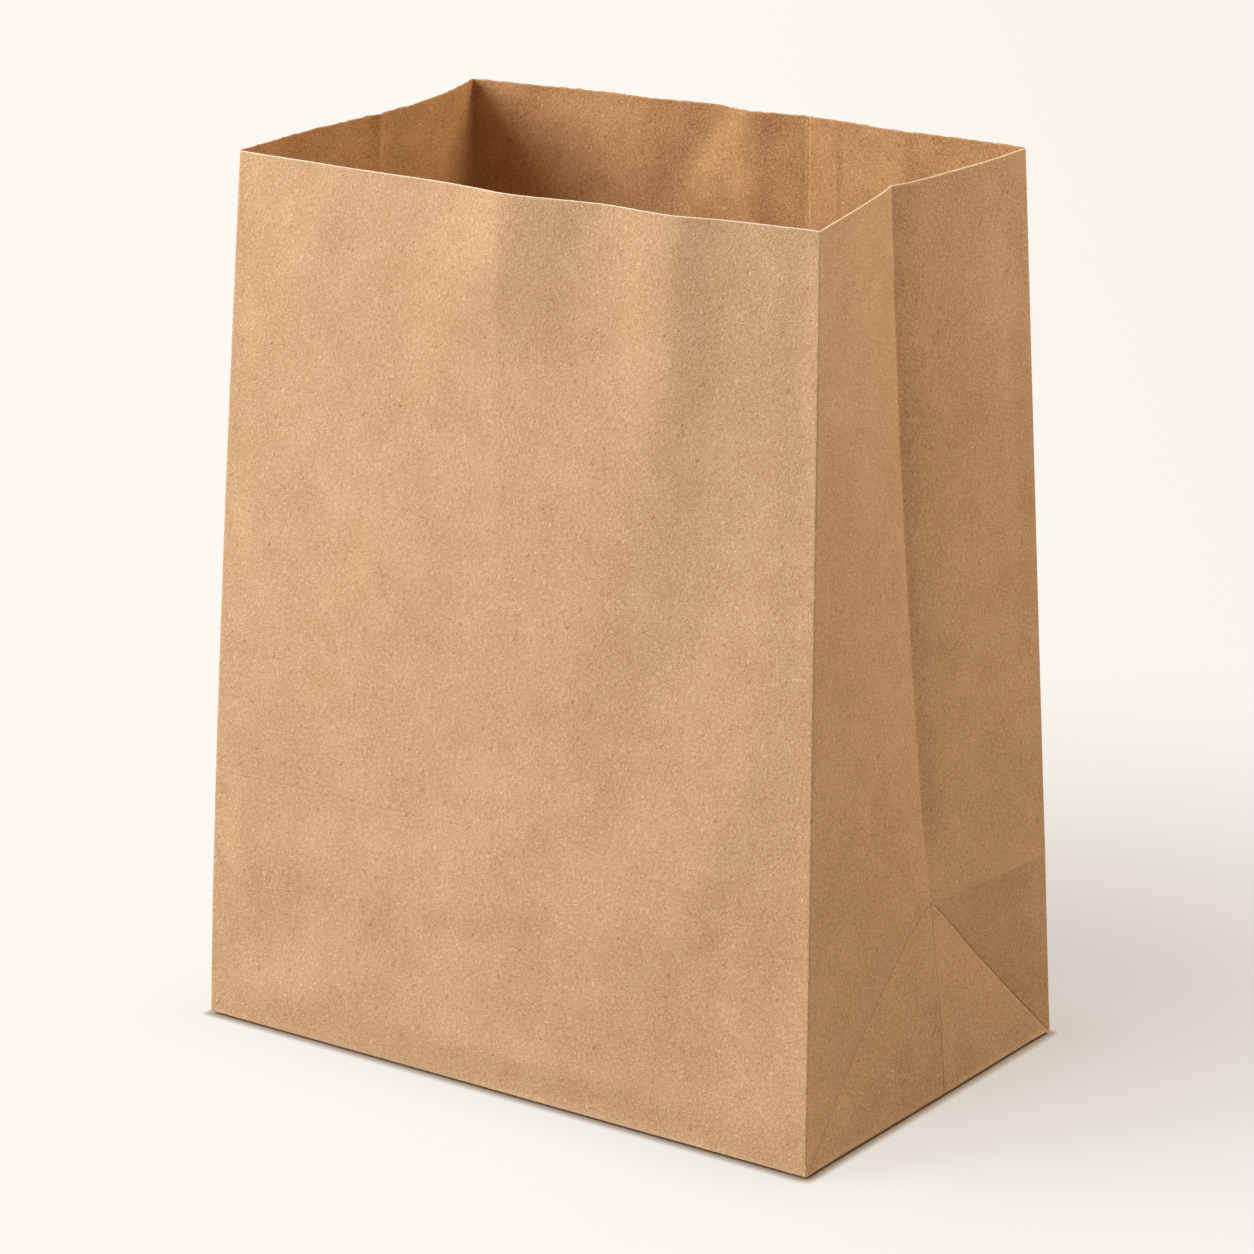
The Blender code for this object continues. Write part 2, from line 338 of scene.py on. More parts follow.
# The whole sheet. Its four strips meet at the pressed folds, whose small radius comes from averaging
# the sheet a little to either side. The paper is never quite flat: it cockles, and the cut edge is rough.
cockle_seed = 7
cockle_waves = 90
slack_depth = 0.00022
slack_waves = (0.030, 0.090)
crumple_depth = 0.00004
crumple_waves = (0.010, 0.026)
seen_edge_roughness = 0.000015
other_edge_roughness = 0.00009


def sheet(along, level):
    """The ideal sheet at a distance along the girth and a level from the base to the mouth."""
    along = np.mod(along, girth)
    points = np.zeros(along.shape + (3,))
    start = 0.0
    for strip, width in (
        (front_panel, base_width), (right_gusset, base_depth),
        (back_panel, base_width), (left_gusset, base_depth),
    ):
        inside = (along >= start - 1e-9) & (along < start + width - 1e-9)
        points[inside] = strip(np.clip((along[inside] - start) / width, 0.0, 1.0), level[inside])
        start = start + width
    return points


def cockle(points, shortest, longest, seed):
    """Smooth unevenness from -1 to 1: a mean of cosines with random directions and wavelengths."""
    draw = np.random.default_rng(seed)
    directions = draw.normal(size=(cockle_waves, 3))
    directions = directions / np.linalg.norm(directions, axis=1)[:, None]
    waves = 2 * np.pi / np.exp(draw.uniform(np.log(shortest), np.log(longest), cockle_waves))
    phases = draw.uniform(0, 2 * np.pi, cockle_waves)
    total = np.zeros(len(points))
    for direction, wave, phase in zip(directions, waves, phases):
        total = total + np.cos(points @ (direction * wave) + phase)
    return total / np.sqrt(cockle_waves / 2)


def rounded_sheet(along, level):
    """The sheet with its folds rounded: a weighted mean over five places across and three up."""
    total = np.zeros(along.shape + (3,))
    for across, weight in ((-1.0, 0.15), (-0.5, 0.22), (0.0, 0.26), (0.5, 0.22), (1.0, 0.15)):
        for up, share in ((-0.7, 0.25), (0.0, 0.5), (0.7, 0.25)):
            raised = np.clip(level + up * fold_radius / wall_height, 0.0, 1.0)
            total = total + weight * share * sheet(along + across * fold_radius, raised)
    total[..., 2] = sheet(along, level)[..., 2]
    return total


def gathered(length, spacing, close):
    """Shares from 0 to 1 along a length: a few close to both ends and even spacing between."""
    close = np.array(close)
    count = int(round((length - 2 * close[-1]) / spacing))
    middle = np.linspace(close[-1], length - close[-1], count + 1)
    return np.concatenate([close[:-1], middle, (length - close[:-1])[::-1]]) / length


close_to_fold = (0.0, 0.00025, 0.0006, 0.0012)
half_shares = gathered(base_depth / 2, 0.00195, close_to_fold)
gusset_shares = np.concatenate([half_shares / 2, 1 - half_shares[-2::-1] / 2])
front_shares = gathered(base_width, 0.0015, close_to_fold)
seam_places = np.array([
    seam_inner_edge + seam_overlap + ply_step, seam_inner_edge + seam_overlap,
    seam_inner_edge, seam_inner_edge - ply_step, seam_inner_edge - seam_ramp,
])
seam_shares = 0.5 - seam_places / base_width
plain_back = front_shares[np.min(np.abs(front_shares[:, None] - seam_shares[None, :]), axis=1) > 0.003]
back_shares = np.sort(np.concatenate([plain_back, seam_shares]))

# Columns run along the girth from the front left fold, without the last one of each strip.
strip_starts = np.array([0.0, base_width, base_width + base_depth, 2 * base_width + base_depth])
strip_shares = (front_shares, gusset_shares, back_shares, gusset_shares)
strip_widths = (base_width, base_depth, base_width, base_depth)
fold_places = np.append(strip_starts, girth)
column_along = np.concatenate([
    start + width * shares[:-1] for start, width, shares in zip(strip_starts, strip_widths, strip_shares)
])
column_strip = np.repeat(np.arange(4), [len(shares) - 1 for shares in strip_shares])
columns = len(column_along)
in_gusset = (column_strip == 1) | (column_strip == 3)
gusset_place = (column_along - strip_starts[column_strip]) / base_depth
from_corner = np.where(in_gusset, 1 - np.abs(1 - 2 * gusset_place), 0.0)
front_half = ((column_strip == 1) & (gusset_place <= 0.5)) | ((column_strip == 3) & (gusset_place > 0.5))
corner_height = np.where((column_strip == 0) | front_half, apex_height, back_crease_height)
fold_height = corner_height + (apex_height - corner_height) * from_corner
diagonal_bend = np.where(front_half, diagonal_bow_front, diagonal_bow_back) * np.sqrt(from_corner)

# Rows rise from the base fold to each column's fold row, and from there to the cut edge. The
# lower rows share the gusset's own spacing, so the diagonal folds run from corner to corner of the mesh.
low_rows = half_shares[3:, None]
low_level = (low_rows + diagonal_bend * low_rows * (1 - low_rows)) * fold_height / wall_height
upper_height = wall_height - apex_height
high_rows = gathered(upper_height, 0.0041, (0.0, 0.0005, 0.0010, 0.0020))[1:, None]
high_level = fold_height / wall_height + high_rows * (1 - fold_height / wall_height)
wall_level = np.concatenate([low_level, high_level])
fold_row = len(low_rows) - 1
wall_along = np.broadcast_to(column_along, wall_level.shape)
walls = rounded_sheet(wall_along.ravel(), wall_level.ravel()).reshape(wall_level.shape + (3,))

# The cockle pushes each point along its strip's outward direction, and fades at the folds and the base.
strip_out = np.array([(0.0, -1.0, 0.0), (1.0, 0.0, 0.0), (0.0, 1.0, 0.0), (-1.0, 0.0, 0.0)])
fold_distance = np.min(np.abs(column_along[:, None] - fold_places[None, :]), axis=1)
crease_distance = np.where(in_gusset, np.abs(gusset_place - 0.5) * base_depth, 1.0)
calm_across = np.clip(np.minimum(fold_distance, crease_distance) / 0.010, 0.0, 1.0)
calm_up = np.clip(walls[..., 2] / 0.015, 0.0, 1.0)
flat_walls = walls.reshape(-1, 3)
unevenness = slack_depth * cockle(flat_walls, *slack_waves, cockle_seed)
unevenness = unevenness + crumple_depth * cockle(flat_walls, *crumple_waves, cockle_seed + 1)
unevenness = unevenness.reshape(wall_level.shape) * calm_across * calm_up
walls = walls + unevenness[..., None] * strip_out[column_strip]
edge_noise = np.random.default_rng(cockle_seed + 2).normal(size=columns)
edge_roughness = np.where(column_strip < 2, seen_edge_roughness, other_edge_roughness)
walls[-1, :, 2] = walls[-1, :, 2] + edge_roughness * np.clip(edge_noise, -2.0, 2.0)

# The block bottom. The gusset ends tuck in first and show as two triangles; the front flap is
# glued over them and the back flap over that, so the sheet is three plies thick inside the base fold.
# The bag stands on the middle of it: the rim curls up a little, and a thin dark gap shows below it.
base_plies = 3
rim_lift = 0.0008
rim_curl = 0.012
flap_overlap = 0.020
flap_ramp = 0.006
tuck_start = 0.0026
tuck_step = 0.001
plies_grow = (0.0018, 0.0036)
fold_turns = np.radians([22.5, 45.0, 67.5, 90.0])
bend_radius = walls[0, 0, 2] - rim_lift
fold_insets = bend_radius * (1 - np.cos(fold_turns))
fold_rises = bend_radius * (1 - np.sin(fold_turns))
middle_reach = base_depth / 2
tongue_reach = middle_reach - flap_overlap / 2
flat_insets = np.concatenate([
    [0.0009, plies_grow[0], tuck_start, plies_grow[1], 0.006],
    np.linspace(0.010, tongue_reach - flap_ramp, 9),
    [tongue_reach - flap_ramp / 2, tongue_reach, tongue_reach + ply_step],
    [tongue_reach + 0.004, middle_reach - 0.0008],
])
base_insets = np.concatenate([fold_insets, flat_insets])
foot = sheet(column_along, np.zeros(columns))
shrink = np.stack([1 - base_insets / (base_width / 2), 1 - base_insets / (base_depth / 2)], axis=-1)
base_xy = foot[None, :, :2] * shrink[:, None, :]
inset_grid = np.broadcast_to(base_insets[:, None], base_xy.shape[:2])
tuck = np.clip((inset_grid - tuck_start) / tuck_step, 0, 1)
tuck = tuck * np.clip((middle_reach - 2 * tuck_step - inset_grid) / tuck_step, 0, 1)
at_front = (column_strip == 0) & (fold_distance > 1e-6)
at_side = in_gusset & (fold_distance > 1e-6)
dip = np.interp(base_insets, [tongue_reach - flap_ramp, tongue_reach, tongue_reach + ply_step], [0, 1, 0])
base_z = paper * np.where(at_side, tuck, np.where(at_front, dip[:, None], 0.0))
base_z[: len(fold_rises)] = fold_rises[:, None]
base_z = base_z + rim_lift * np.clip(1 - base_insets / rim_curl, 0.0, 1.0)[:, None] ** 2
base_rows = np.concatenate([base_xy, base_z[..., None]], axis=-1)

# One grid holds it all: base rows from the middle out, then the walls up to the cut edge.
grid = np.concatenate([base_rows[::-1], walls])
rows = len(grid)
first_wall = len(base_rows)
crease_row = first_wall + fold_row
index = np.arange(rows * columns).reshape(rows, columns)
beside = np.roll(index, -1, axis=1)
low_left, low_right = index[:-1], beside[:-1]
high_left, high_right = index[1:], beside[1:]
leans_left = np.broadcast_to(in_gusset & (gusset_place >= 0.5 - 1e-9), low_left.shape)
first_face = np.where(leans_left[..., None], np.stack([low_left, low_right, high_left], -1),
                      np.stack([low_left, low_right, high_right], -1))
second_face = np.where(leans_left[..., None], np.stack([low_right, high_right, high_left], -1),
                       np.stack([low_left, high_right, high_left], -1))
faces = np.concatenate([first_face.reshape(-1, 3), second_face.reshape(-1, 3)]).tolist()
faces.append(index[0, ::-1].tolist())
bag_mesh = bpy.data.meshes.new("kraft_bag")
bag_mesh.from_pydata(grid.reshape(-1, 3).tolist(), [], faces)
bag_mesh.update()

# Where each corner of a face lies on the flat sheet, in metres: along the girth and up the wall, with
# the bottom laid out beside it. The fibres follow these places, so that no panel stretches them.
corner_point = np.zeros(len(bag_mesh.loops), dtype=np.int64)
bag_mesh.loops.foreach_get("vertex_index", corner_point)
face_sizes = np.zeros(len(bag_mesh.polygons), dtype=np.int64)
bag_mesh.polygons.foreach_get("loop_total", face_sizes)
face_starts = np.cumsum(face_sizes) - face_sizes
corner_row, corner_column = corner_point // columns, corner_point % columns
down_base = np.broadcast_to(-base_insets[::-1, None], base_z.shape)
up_sheet = np.concatenate([down_base, wall_level * wall_height])
flat_u, flat_v = column_along[corner_column], up_sheet.ravel()[corner_point]
reaches_last = np.repeat(np.maximum.reduceat(corner_column, face_starts) == columns - 1, face_sizes)
flat_u = np.where(reaches_last & (corner_column == 0), girth, flat_u)
highest_row = np.maximum.reduceat(corner_row, face_starts)
underneath = np.repeat(highest_row <= first_wall - len(fold_turns), face_sizes)
spot = grid.reshape(-1, 3)[corner_point]
flat_u = np.where(underneath, spot[:, 0] - base_width, flat_u)
flat_v = np.where(underneath, spot[:, 1], flat_v)
sheet_layer = bag_mesh.uv_layers.new(name="sheet")
sheet_layer.data.foreach_set("uv", np.stack([flat_u, flat_v], axis=-1).astype(np.float32).ravel())
bag = bpy.data.objects.new("kraft_bag", bag_mesh)
bpy.context.scene.collection.objects.link(bag)


def mark(name, values):
    """Keeps one number at each point of the sheet for the paper's finish to read."""
    layer = bag_mesh.attributes.new(name, "FLOAT", "POINT")
    layer.data.foreach_set("value", np.ascontiguousarray(values, dtype=np.float32).ravel())


# Where the sheet was pressed: corner folds, creases, ridges, and the cut edge. Each mark is a bell across
# its line. The fold marks pale the paper, as wear and partly as painted highlight, most at the mouth; the
# crease and ridge marks darken it as painted shade; the cut edge is pale fibres and partly painted
# highlight.
fold_line_width = 0.00030
crease_line_width = 0.00055
least_wear_and_highlight = 0.15
mouth_wear_and_highlight_reach = 0.025
base_fold_wear_and_highlight = 0.30
middle_crease_mark = 0.65
storage_ridge_mark = 0.6
storage_ridge_wear_and_highlight = 0.35
back_edge_mark = 0.25
wear_and_highlight = np.zeros((rows, columns))
near_mouth = np.exp(-(wall_height - walls[..., 2]) / mouth_wear_and_highlight_reach)
wear_and_highlight[first_wall:] = bell(fold_distance, fold_line_width) * (least_wear_and_highlight + (1 - least_wear_and_highlight) * near_mouth)
# Painted highlight: the base fold is paled as if it caught the light, besides its wear.
wear_and_highlight[first_wall - 1: first_wall + 1] = base_fold_wear_and_highlight
creased = np.zeros((rows, columns))
beside_middle = bell(crease_distance, crease_line_width)
creased[crease_row:] = middle_crease_mark * beside_middle
diagonal_pairs = []
for start, step in ((1, 1), (2, -1), (3, 1), (4, -1)):
    fold_column = int(np.searchsorted(column_along, fold_places[start] - 1e-9))
    for place in range(3, len(half_shares)):
        creased[first_wall + place - 3, (fold_column + step * place) % columns] = 1.0
        if place > 3:
            low = index[first_wall + place - 4, (fold_column + step * (place - 1)) % columns]
            high = index[first_wall + place - 3, (fold_column + step * place) % columns]
            diagonal_pairs.append((min(low, high), max(low, high)))
mark("crease", creased)
raised = np.zeros((rows, columns))
raised[first_wall: crease_row] = beside_middle
back_half = (in_gusset & ~front_half) | (column_strip == 2)
from_row = (wall_level - fold_height / wall_height) * wall_height
row_mark = back_half * bell(from_row, crease_line_width)
raised[first_wall:] = np.maximum(raised[first_wall:], storage_ridge_mark * row_mark)
# Wear and painted highlight along the storage ridge on the side that is seen.
wear_and_highlight[first_wall:] = np.maximum(wear_and_highlight[first_wall:], storage_ridge_wear_and_highlight * row_mark * (column_strip == 1))
mark("pressed_ridge", raised)
mark("fold_wear_and_highlight", wear_and_highlight)
# The cut edge is paled as pale fibres and partly as a painted highlight: fully on the front and right, a
# quarter on the back and left.
edge = np.zeros((rows, columns))
edge[-1] = np.where(column_strip < 2, 1.0, back_edge_mark)
mark("cut_edge", edge)

# The diagonals are pressed sharp, so the shading breaks along them.
ends = np.zeros(len(bag_mesh.edges) * 2, dtype=np.int64)
bag_mesh.edges.foreach_get("vertices", ends)
ends = np.sort(ends.reshape(-1, 2), axis=1)
keys = ends[:, 0] * (rows * columns) + ends[:, 1]
sharp_keys = np.array([low * (rows * columns) + high for low, high in diagonal_pairs])
bag_mesh.polygons.foreach_set("use_smooth", np.ones(len(bag_mesh.polygons), dtype=bool))
bag_mesh.edges.foreach_set("use_edge_sharp", np.isin(keys, sharp_keys))

# The wall's thickness: one ply, two at the lap seam and three inside the base fold.
place_on_back = base_width / 2 - (column_along - strip_starts[2])
at_seam = (column_strip == 2) & (place_on_back > seam_inner_edge - ply_step / 2)
at_seam = at_seam & (place_on_back < seam_inner_edge + seam_overlap + ply_step / 2)
plies = np.broadcast_to(np.where(at_seam, 2.0, 1.0), (rows, columns)).copy()
base_thick = np.interp(base_insets[::-1], plies_grow, (1, base_plies))
plies[:first_wall] = np.maximum(plies[:first_wall], base_thick[:, None])
group = bag.vertex_groups.new(name="plies")
for count in np.unique(plies):
    group.add(index[plies == count].tolist(), float(count) / base_plies, "REPLACE")
thickness = bag.modifiers.new("plies", "SOLIDIFY")
thickness.thickness = base_plies * paper
thickness.offset = -1.0
thickness.use_even_offset = True
thickness.vertex_group = "plies"
thickness.material_offset = 1
thickness.material_offset_rim = 2
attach(bag, "root")
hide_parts("paper_bag")


# The finish: unbleached kraft, matt, with short fibres lying every way, fine curled threads, cloudy
# patches where the pulp settled unevenly, a few dark specks, and paler fibres where a fold has worn,
# which are partly a painted highlight. Creases, ridges and old lines are darkened as painted shade.
class Reading:
    """One socket of a material's nodes. Sums and products of readings add their Math nodes."""

    def __init__(self, tree, socket=None):
        self.tree = tree
        self.socket = socket

    def node(self, kind, settings, sockets, output=0):
        """A new node: its settings first, then its sockets from numbers, colours or readings."""
        made = self.tree.nodes.new(kind)
        for name, value in settings.items():
            setattr(made, name, value)
        for name, value in sockets.items():
            if isinstance(value, Reading):
                self.tree.links.new(value.socket, made.inputs[name])
            else:
                made.inputs[name].default_value = value
        return Reading(self.tree, made.outputs[output] if len(made.outputs) else None)

    def sum_of(self, operation, first, second):
        """A sum, difference, product or absolute value of numbers or readings."""
        return self.node("ShaderNodeMath", {"operation": operation}, {0: first, 1: second})

    def vector(self, operation, first, second=(0.0, 0.0, 0.0), output=0):
        """The same for places and directions; distances and lengths come from output 1."""
        return self.node("ShaderNodeVectorMath", {"operation": operation}, {0: first, 1: second}, output)

    def blend(self, share, low, high):
        """The low colour where share is 0, the high one where it is 1."""
        return self.node("ShaderNodeMix", {"data_type": "RGBA"}, {0: share, 6: low, 7: high}, 2)

    def marked(self, name):
        """A number that the mesh keeps at each of its points."""
        return self.node("ShaderNodeAttribute", {"attribute_name": name}, {}, 2)

    def __add__(self, other):
        return self.sum_of("ADD", self, other)

    def __mul__(self, other):
        return self.sum_of("MULTIPLY", self, other)

    def __sub__(self, other):
        return self.sum_of("SUBTRACT", self, other)

    def __rsub__(self, other):
        return self.sum_of("SUBTRACT", other, self)

    __radd__ = __add__
    __rmul__ = __mul__

    def eased(self, low, high):
        """0 at low and 1 at high, with a smooth step between."""
        sockets = {"Value": self, "From Min": low, "From Max": high, "To Min": 0.0, "To Max": 1.0}
        return self.node("ShaderNodeMapRange", {"interpolation_type": "SMOOTHSTEP"}, sockets)

    def seen_ray(self):
        """1 for rays that come from the camera, straight or by way of a mirror or glass."""
        kinds = [self.node("ShaderNodeLightPath", {}, {}, kind) for kind in (0, 3, 6)]
        return self.node("ShaderNodeClamp", {}, {"Value": kinds[0] + kinds[1] + kinds[2]})


# Faint lines that handling and storage have left, as places on the flat sheet from start to end, with
# a strength: three old creases across the front, small pinches where the base corners were turned,
# the edge of a flap that shows through at the foot, and the edges of the plies at the seam. The finish
# darkens the paper along them as painted shade, and bumps it.
seam_along = base_width + base_depth + base_width / 2 - seam_inner_edge
outer_along = seam_along - seam_overlap
outside_lines = [
    ("front storage crease", (0.000, 0.0745), (0.096, 0.0757), 0.35),
    ("front low crease", (0.001, 0.0406), (0.085, 0.0495), 0.14),
    ("front right crease", (0.183, 0.0580), (0.205, 0.0610), 0.30),
    ("right pinch on the front", (0.2045, 0.0005), (0.1978, 0.0073), 0.6),
    ("right pinch on the side", (0.2055, 0.0005), (0.2105, 0.0065), 0.5),
    ("left pinch on the front", (0.0005, 0.0008), (0.0068, 0.0085), 0.35),
    ("flap's edge behind the front", (0.0895, 0.0005), (0.0890, 0.0340), 0.22),
    ("outer ply's edge", (outer_along, 0.0005), (outer_along, wall_height), 0.8),
]
inside_lines = [("inner ply's edge", (seam_along, 0.0005), (seam_along, wall_height), 0.7)]
old_line_width = 0.0007

# Sizes of the paper's structure in metres, and its colours.
curl_cell = 0.0012
curl_shift = 0.0009
strand_width = 0.00029
strand_stretch = 4.2
strand_turns = (8.0, 41.0, 77.0, 113.0, 149.0)
fuzz_depth = 0.00007
pressing_depth = 0.00018
outer_dark = (0.500, 0.280, 0.122, 1.0)
outer_pale = (0.780, 0.518, 0.300, 1.0)
# Painted shade: the inside's tones are a darker, redder copy of the outside's, and the cut edge takes the
# darker one.
inner_shaded_dark = (0.395, 0.184, 0.053, 1.0)
inner_shaded_pale = (0.650, 0.380, 0.172, 1.0)
# Rubbed tone: worn fibres on the folds, and partly a painted highlight.
rubbed_and_highlight_tone = (0.92, 0.77, 0.55, 1.0)
# Cut edge tone: pale fibres, and partly a painted highlight.
cut_and_highlight_tone = (0.98, 0.88, 0.67, 1.0)


def kraft(name, dark_tone, pale_tone, mottle, edge_strength, fold_strength, lines):
    """Kraft paper between two tones: denser pulp is darker and redder, loose fibres are paler.
    mottle is the strength of the clouds, and the next two that of the pale cut edges and worn folds, both
    partly painted highlight."""
    material = bpy.data.materials.new(name)
    material.use_nodes = True
    tree = material.node_tree
    tree.nodes.clear()
    begin = Reading(tree)
    flat = begin.node("ShaderNodeUVMap", {"uv_map": "sheet"}, {})

    def pulp(size, detail, turn=0.0, stretch=1.0, place=flat):
        """Noise on the flat sheet with cells of a size in metres, drawn out along a direction."""
        turned = begin.node("ShaderNodeMapping", {"vector_type": "TEXTURE"}, {
            "Vector": place, "Rotation": (0.0, 0.0, math.radians(turn)),
            "Location": (turn * 0.001, size * 37.0, 0.0), "Scale": (size * stretch, size, 1.0)})
        return begin.node("ShaderNodeTexNoise", {"noise_dimensions": "2D"}, {
            "Vector": turned, "Scale": 1.0, "Detail": detail, "Roughness": 0.55})

    def thread(size, turn):
        """Thin curled lines, where noise with cells of a size passes through its middle value."""
        noise = pulp(size, 1.0, turn, 1.5, curled)
        return 1 - noise.sum_of("ABSOLUTE", noise - 0.5, 0.0).eased(0.0, 0.085)

    def line(start, end, width):
        """1 on the straight line between two places on the sheet, easing to 0 at a width from it."""
        reach = math.dist(start, end)
        way = ((end[0] - start[0]) / reach, (end[1] - start[1]) / reach, 0.0)
        away = begin.vector("SUBTRACT", flat, (*start, 0.0))
        run = begin.vector("DOT_PRODUCT", away, way, 1)
        inside = begin.node("ShaderNodeClamp", {}, {"Value": run, "Max": reach})
        nearest = begin.node("ShaderNodeVectorMath", {"operation": "SCALE"}, {0: way, "Scale": inside})
        return 1 - begin.vector("DISTANCE", away, nearest, 1).eased(0.0, width)

    bend = begin.node("ShaderNodeTexNoise", {"noise_dimensions": "2D"}, {
        "Vector": flat, "Scale": 1 / curl_cell, "Detail": 0.0}, 1)
    centred = begin.vector("SUBTRACT", bend, (0.5, 0.5, 0.5))
    shifted = begin.node("ShaderNodeVectorMath", {"operation": "SCALE"}, {0: centred, "Scale": curl_shift})
    curled = begin.vector("ADD", flat, shifted)
    pale = 0.0
    dark = 0.0
    for turn in strand_turns:
        strand = pulp(strand_width, 0.0, turn, strand_stretch, curled)
        pale = strand.eased(0.58, 0.76) + pale
        dark = 1 - strand.eased(0.22, 0.40) + dark
    pale_hair = pulp(0.00060, 0.0, 62.0, 8.0, curled).eased(0.74, 0.84)
    dark_hair = 1 - pulp(0.00050, 0.0, 128.0, 9.0, curled).eased(0.15, 0.25)
    pale_thread = thread(0.0010, 25.0)
    dark_thread = thread(0.0011, 118.0)
    grain = pulp(0.00022, 1.0)
    flock = pulp(0.0019, 2.0)
    cloud = pulp(0.011, 1.0)
    drift = pulp(0.050, 2.0)
    speck_place = begin.node("ShaderNodeMapping", {"vector_type": "TEXTURE"}, {
        "Vector": curled, "Rotation": (0.0, 0.0, 0.8), "Scale": (0.016, 0.007, 1.0)})
    speck_far = begin.node("ShaderNodeTexVoronoi", {"voronoi_dimensions": "2D"}, {
        "Vector": speck_place, "Scale": 1.0})
    speck = 1 - speck_far.eased(0.03, 0.07)
    crease_valley_and_shade = begin.marked("crease").eased(0.50, 1.0)
    pressed_ridge_and_shade = begin.marked("pressed_ridge").eased(0.45, 1.0)
    cut = begin.marked("cut_edge").eased(0.50, 0.80)
    old_lines_and_shade = 0.0
    for label, start, end, strength in lines:
        old_lines_and_shade = line(start, end, old_line_width) * strength + old_lines_and_shade

    tone = 0.57 + 0.20 * pale - 0.10 * dark + 0.24 * pale_hair - 0.24 * dark_hair
    tone = tone + 0.32 * pale_thread - 0.25 * dark_thread + 2.1 * (grain - 0.5) + 0.06 * (flock - 0.5)
    tone = tone + mottle * (cloud - 0.5) + 0.36 * (drift - 0.5)
    # Painted shade: creases, pressed ridges and old lines darken the tone, besides their bumps.
    tone = tone - 0.38 * speck - 0.30 * crease_valley_and_shade - 0.42 * pressed_ridge_and_shade - 0.10 * old_lines_and_shade
    body = begin.node("ShaderNodeMix", {"data_type": "RGBA", "clamp_factor": False}, {
        0: tone, 6: dark_tone, 7: pale_tone}, 2)
    # Fold marks pale the paper: wear, and partly a painted highlight.
    loose_and_highlight = begin.marked("fold_wear_and_highlight") * fold_strength * (0.3 + 1.4 * pulp(0.0016, 2.0))
    surface = begin.blend(cut * edge_strength, begin.blend(loose_and_highlight, body, rubbed_and_highlight_tone), cut_and_highlight_tone)
    fibres = 0.4 * pale - 0.4 * dark + 0.9 * pale_thread - 0.7 * dark_thread + 1.2 * grain + 0.8 * flock
    fuzz = begin.node("ShaderNodeBump", {}, {"Strength": 0.6, "Distance": fuzz_depth, "Height": fibres})
    folds = pressed_ridge_and_shade * 1.2 - crease_valley_and_shade - old_lines_and_shade
    pressing = begin.node("ShaderNodeBump", {}, {
        "Strength": 1.0, "Distance": pressing_depth, "Height": folds, "Normal": fuzz})
    finish = begin.node("ShaderNodeBsdfPrincipled", {}, {
        "Base Color": surface, "Roughness": 0.78 + 0.16 * (grain - 0.5), "Normal": pressing,
        "Specular IOR Level": 0.4})
    begin.node("ShaderNodeOutputMaterial", {}, {"Surface": finish})
    return material


# The inside and the cut edge use the inner tones, which are painted shade.
for name, dark_tone, pale_tone, mottle, edge_strength, fold_strength, lines in (
    ("kraft_outside", outer_dark, outer_pale, 0.34, 1.0, 0.50, outside_lines),
    ("kraft_inside", inner_shaded_dark, inner_shaded_pale, 0.66, 0.0, 0.10, inside_lines),
    ("kraft_cut_edge", inner_shaded_dark, outer_pale, 0.34, 0.9, 0.0, []),
):
    paper_look = kraft(name, dark_tone, pale_tone, mottle, edge_strength, fold_strength, lines)
    bag_mesh.materials.append(paper_look)

# The table: wide, pale and matt, running out of the frame. Away from the bag, and to its left, the
# camera sees it as an even pale backdrop, with painted shade a little darker to the right. Near the bag it
# is lit, so that it keeps the soft shadow, and within 30 mm of the foot its colour is painted darker and
# warmer, as painted shade and warm light thrown off the bag.
table_reach = 6.0
table_drop = 0.00005
shadow_middle = (0.03, 0.10, 0.0)
lit_within = 0.035
plain_beyond = 0.30
plain_share = 0.42
left_strength = 0.90
left_strength_at_foot = 0.45
contact_width = 0.003
foot_reach = 0.030
# Painted shade: the table's colour near the foot, darker and warmer.
foot_shade_tone = (0.490, 0.440, 0.385, 1.0)
clear_tone = (0.565, 0.580, 0.598, 1.0)
bounce_tone = (0.41, 0.34, 0.26, 1.0)
# Painted shade: the backdrop is a little darker to the right.
right_backdrop_shade = (0.930, 0.898, 0.847, 1.0)
left_backdrop = (0.970, 0.943, 0.890, 1.0)
picture_turn = math.radians(35.6)
picture_left = (-math.cos(picture_turn), -math.sin(picture_turn), 0.0)
table_mesh = bpy.data.meshes.new("table")
table_mesh.from_pydata(
    [(x * table_reach, y * table_reach, -table_drop) for x, y in ((-1, -1), (1, -1), (1, 1), (-1, 1))],
    [], [(0, 1, 2, 3)],
)
table = bpy.data.objects.new("table", table_mesh)
bpy.context.scene.collection.objects.link(table)
table_material = bpy.data.materials.new("pale_table")
table_material.use_nodes = True
table_material.node_tree.nodes.clear()
board = Reading(table_material.node_tree)
spot_on_table = board.node("ShaderNodeTexCoord", {}, {}, 3)
from_shadow = board.vector("DISTANCE", spot_on_table, shadow_middle, 1)
to_left = board.vector("DOT_PRODUCT", spot_on_table, picture_left, 1)
past_foot = board.vector(
    "SUBTRACT", board.vector("ABSOLUTE", spot_on_table), (base_width / 2, base_depth / 2, 0.0))
gap_to_foot = board.vector("LENGTH", board.vector("MAXIMUM", past_foot), output=1)
off_foot = gap_to_foot.eased(0.0, foot_reach)
seen_ray = board.seen_ray()
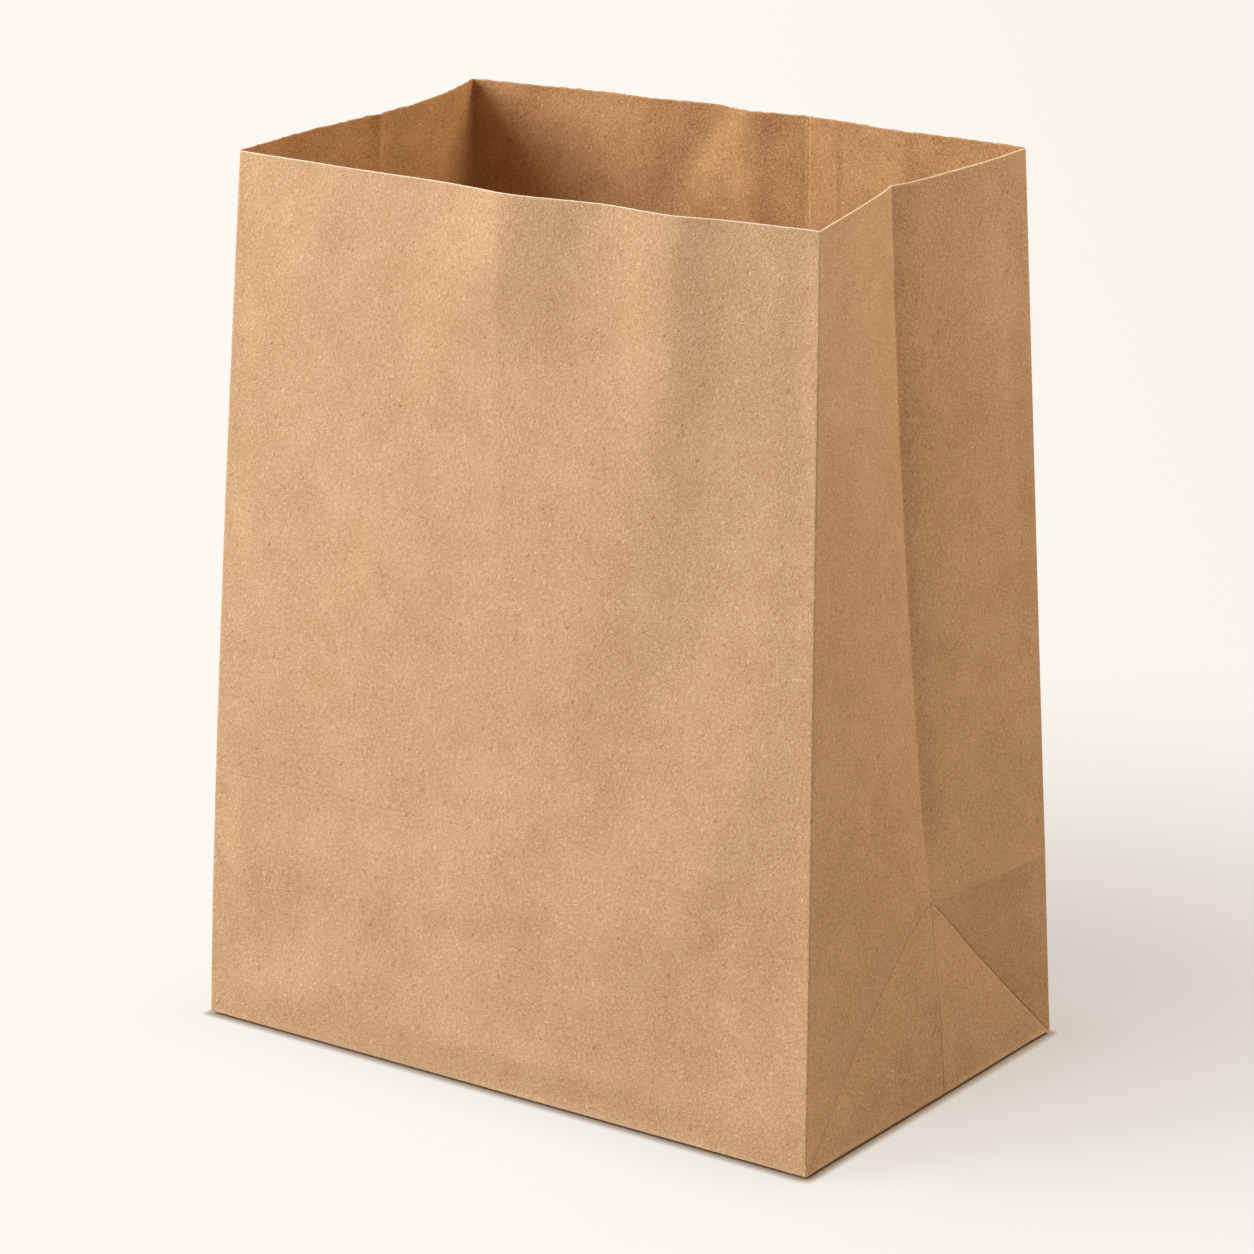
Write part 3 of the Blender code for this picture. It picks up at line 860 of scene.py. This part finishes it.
# Painted shade: the camera sees the table darker and warmer near the foot.
matt = board.blend(seen_ray, bounce_tone, board.blend(off_foot, foot_shade_tone, clear_tone))
lit = board.node("ShaderNodeBsdfPrincipled", {}, {
    "Base Color": matt, "Roughness": 0.9, "Specular IOR Level": 0.1})
plain_tone = board.blend(to_left.eased(-0.35, 0.0), right_backdrop_shade, left_backdrop)
plain = board.node("ShaderNodeEmission", {}, {"Color": plain_tone, "Strength": 1.0})
far_share = plain_share + (1 - plain_share) * from_shadow.eased(lit_within, plain_beyond)
near_left = left_strength_at_foot + (1 - left_strength_at_foot) * off_foot
left_share = left_strength * to_left.eased(-0.10, 0.04) * near_left
backdrop = seen_ray * (far_share + left_share * (1 - far_share)) * gap_to_foot.eased(0.0, contact_width)
table_look = board.node("ShaderNodeMixShader", {}, {0: backdrop, 1: lit, 2: plain})
board.node("ShaderNodeOutputMaterial", {}, {"Surface": table_look})
table_mesh.materials.append(table_material)


# The studio light: a large soft lamp at the front left, a weaker warm one above and behind the right
# side that shows up the gusset's folds, and a little light from all round.
lit_height = 0.12
world_glow = (1.0, 0.88, 0.73, 1.0)


def soft_lamp(name, azimuth, elevation, distance, size, power, colour):
    """A square lamp that faces the middle of the bag from an azimuth and an elevation in degrees."""
    turn, lift = math.radians(azimuth), math.radians(elevation)
    back = Vector((math.sin(turn) * math.cos(lift), -math.cos(turn) * math.cos(lift), math.sin(lift)))
    light = bpy.data.lights.new(name, "AREA")
    light.energy = power
    light.size = size
    light.color = colour
    lamp = bpy.data.objects.new(name, light)
    lamp.location = Vector((0.0, 0.0, lit_height)) + back * distance
    lamp.rotation_mode = "QUATERNION"
    lamp.rotation_quaternion = (-back).to_track_quat("-Z", "Y")
    bpy.context.scene.collection.objects.link(lamp)


soft_lamp("key", -51.0, 33.0, 1.9, 1.4, 46.8, (1.0, 1.0, 1.02))
soft_lamp("side", 130.0, 56.0, 0.85, 0.5, 5.0, (1.0, 0.845, 0.68))
world = bpy.data.worlds.new("studio")
world.use_nodes = True
bpy.context.scene.world = world
world.node_tree.nodes.clear()
sky = Reading(world.node_tree)
around = sky.node("ShaderNodeBackground", {}, {"Color": world_glow, "Strength": 0.25})
seen = sky.node("ShaderNodeBackground", {}, {"Color": left_backdrop, "Strength": 1.0})
both = sky.node("ShaderNodeMixShader", {}, {0: sky.seen_ray(), 1: around, 2: seen})
sky.node("ShaderNodeOutputWorld", {}, {"Surface": both})

# The camera, fitted to the seven corners of the bag that the picture shows.
camera_azimuth = math.radians(35.638)
camera_elevation = math.radians(17.681)
camera_roll = math.radians(-0.2766)
camera_distance = 1.38459
camera_aim = Vector((0.00032, 0.0, 0.11855))
camera_back = Vector((
    math.sin(camera_azimuth) * math.cos(camera_elevation),
    -math.cos(camera_azimuth) * math.cos(camera_elevation),
    math.sin(camera_elevation),
))
level_right = (-camera_back).cross(Vector((0.0, 0.0, 1.0))).normalized()
level_up = level_right.cross(-camera_back)
camera_right = level_right * math.cos(camera_roll) + level_up * math.sin(camera_roll)
camera_up = level_up * math.cos(camera_roll) - level_right * math.sin(camera_roll)
camera_data = bpy.data.cameras.new("camera")
camera_data.sensor_width = 36.0
camera_data.lens = 143.045
camera_data.clip_end = 50.0
camera = bpy.data.objects.new("camera", camera_data)
turned = Matrix((camera_right, camera_up, camera_back)).transposed().to_4x4()
camera.matrix_world = Matrix.Translation(camera_aim + camera_back * camera_distance) @ turned
bpy.context.scene.collection.objects.link(camera)
bpy.context.scene.camera = camera
bpy.context.scene.view_settings.view_transform = "Standard"
